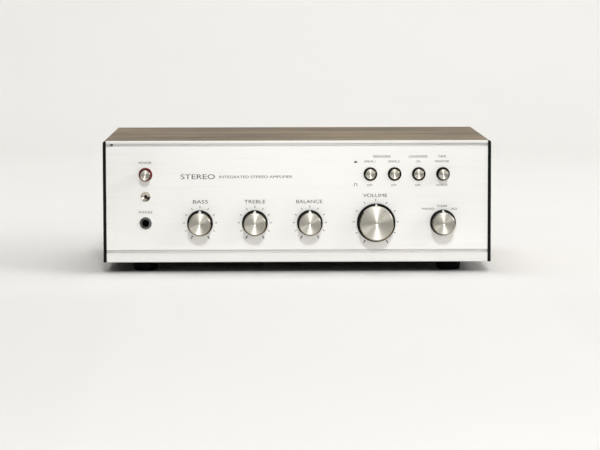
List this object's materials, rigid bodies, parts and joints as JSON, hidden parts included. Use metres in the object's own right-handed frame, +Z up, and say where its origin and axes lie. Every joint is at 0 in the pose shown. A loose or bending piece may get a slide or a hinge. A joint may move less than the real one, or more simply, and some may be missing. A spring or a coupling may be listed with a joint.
{
  "type": "integrated amplifier",
  "caption": "Compact stereo integrated amplifier: brushed aluminium front with rotary knobs and push buttons, wood-grain steel cover, rear sockets and working insides.",
  "frame": {"origin": "on the floor under the middle of the whole object, knobs and rear post included", "axes": "+Z up, the front panel faces -Y, +X to the right as seen from the front"},
  "size_m": [0.344, 0.2486, 0.1165],
  "materials": {
    "wood_vinyl": "satin walnut-grain vinyl over steel",
    "black_plastic": "matte moulded",
    "brushed_aluminium": "fine horizontal brushing, clear anodised",
    "satin_aluminium": "satin anodised extrusion",
    "bright_aluminium": "bright satin strip",
    "zinc_steel": "zinc-plated sheet",
    "black_steel": "semi-matte black paint",
    "rubber": "matte",
    "screw_steel": "zinc-plated",
    "phenolic": "paper phenolic board",
    "nickel": "nickel-plated brass",
    "red_plastic": "glossy dark red moulding",
    "gloss_black": "glossy black moulding",
    "chrome": "bright chrome",
    "lamp_red": "dark red lens, lamp off",
    "ivory_plastic": "moulded",
    "phenolic_black": "moulded phenolic",
    "brass": "plated brass",
    "core_steel": "varnished steel laminations",
    "coil_tape": "varnished tape over copper wire",
    "black_aluminium": "black anodised",
    "capacitor_blue": "plastic sleeve",
    "component_brown": "small parts, mixed",
    "wire_red": "plastic-covered wire",
    "spun_aluminium": "turned face, warm silver",
    "shaft_steel": "turned"
  },
  "bodies": {
    "cabinet": {"cover": "wood_vinyl", "edge_trims": "black_plastic", "front_panel": "brushed_aluminium", "top_rail": "satin_aluminium", "bottom_rail": "satin_aluminium", "groove_inlays": "bright_aluminium", "chassis": "black_steel", "rear_panel": "black_steel", "rubber_feet": "rubber", "machine_screws": "screw_steel", "tone_pots": "zinc_steel", "volume_pot": "zinc_steel", "selector_switch": "phenolic", "control_nuts": "nickel", "power_switch": "black_plastic", "switch_bank": "black_plastic", "power_bezel": "red_plastic", "button_bezels": "gloss_black", "lamp_bezel": "chrome", "lamp_lens": "lamp_red", "phones_jack": "black_plastic", "phones_nut": "chrome", "phono_sockets": "nickel", "phono_block": "ivory_plastic", "din_socket": "nickel", "speaker_terminals": "phenolic_black", "terminal_screws": "brass", "ground_post": "nickel", "cord_gland": "black_plastic", "transformer_core": "core_steel", "transformer_winding": "coil_tape", "transformer_frame": "zinc_steel", "main_board": "phenolic", "heatsink": "black_aluminium", "power_transistors": "black_plastic", "filter_capacitors": "capacitor_blue", "board_components": "component_brown", "tone_board": "phenolic", "wiring": "wire_red"},
    "bass_control": {"bass_knob": "gloss_black", "bass_knob_cap": "spun_aluminium", "bass_shaft": "shaft_steel"},
    "treble_control": {"treble_knob": "gloss_black", "treble_knob_cap": "spun_aluminium", "treble_shaft": "shaft_steel"},
    "balance_control": {"balance_knob": "gloss_black", "balance_knob_cap": "spun_aluminium", "balance_shaft": "shaft_steel"},
    "volume_control": {"volume_knob": "gloss_black", "volume_knob_cap": "spun_aluminium", "volume_shaft": "shaft_steel"},
    "selector_control": {"selector_knob": "gloss_black", "selector_knob_cap": "spun_aluminium", "selector_shaft": "shaft_steel"},
    "power_push": {"power_button": "spun_aluminium"},
    "speaker_1_push": {"speaker_1_button": "spun_aluminium"},
    "speaker_2_push": {"speaker_2_button": "spun_aluminium"},
    "loudness_push": {"loudness_button": "spun_aluminium"},
    "tape_push": {"tape_button": "spun_aluminium"},
    "ground_nut_body": {"ground_nut": "nickel"}
  },
  "joints": [
    {"name": "bass_turn", "type": "hinge", "parent": "cabinet", "child": "bass_control", "pos_m": [-0.0852, -0.1057, 0.0446], "axis": [0, 1, 0], "range_deg": [-150, 150]},
    {"name": "treble_turn", "type": "hinge", "parent": "cabinet", "child": "treble_control", "pos_m": [-0.0371, -0.1057, 0.0446], "axis": [0, 1, 0], "range_deg": [-150, 150]},
    {"name": "balance_turn", "type": "hinge", "parent": "cabinet", "child": "balance_control", "pos_m": [0.0111, -0.1057, 0.0446], "axis": [0, 1, 0], "range_deg": [-150, 150]},
    {"name": "volume_turn", "type": "hinge", "parent": "cabinet", "child": "volume_control", "pos_m": [0.0692, -0.1057, 0.0446], "axis": [0, 1, 0], "range_deg": [-150, 150]},
    {"name": "selector_turn", "type": "hinge", "parent": "cabinet", "child": "selector_control", "pos_m": [0.1278, -0.1057, 0.0446], "axis": [0, 1, 0], "range_deg": [-30, 30]},
    {"name": "power_press", "type": "slide", "parent": "cabinet", "child": "power_push", "axis": [0, 1, 0], "range_m": [0, 0.007]},
    {"name": "speaker_1_press", "type": "slide", "parent": "cabinet", "child": "speaker_1_push", "axis": [0, 1, 0], "range_m": [-0.006, 0.001]},
    {"name": "speaker_2_press", "type": "slide", "parent": "cabinet", "child": "speaker_2_push", "axis": [0, 1, 0], "range_m": [-0.006, 0.001]},
    {"name": "loudness_press", "type": "slide", "parent": "cabinet", "child": "loudness_push", "axis": [0, 1, 0], "range_m": [-0.006, 0.001]},
    {"name": "tape_press", "type": "slide", "parent": "cabinet", "child": "tape_push", "axis": [0, 1, 0], "range_m": [0, 0.007]},
    {"name": "ground_nut_travel", "type": "slide", "parent": "cabinet", "child": "ground_nut_body", "axis": [0, 1, 0], "range_m": [0, 0.006]}
  ]
}
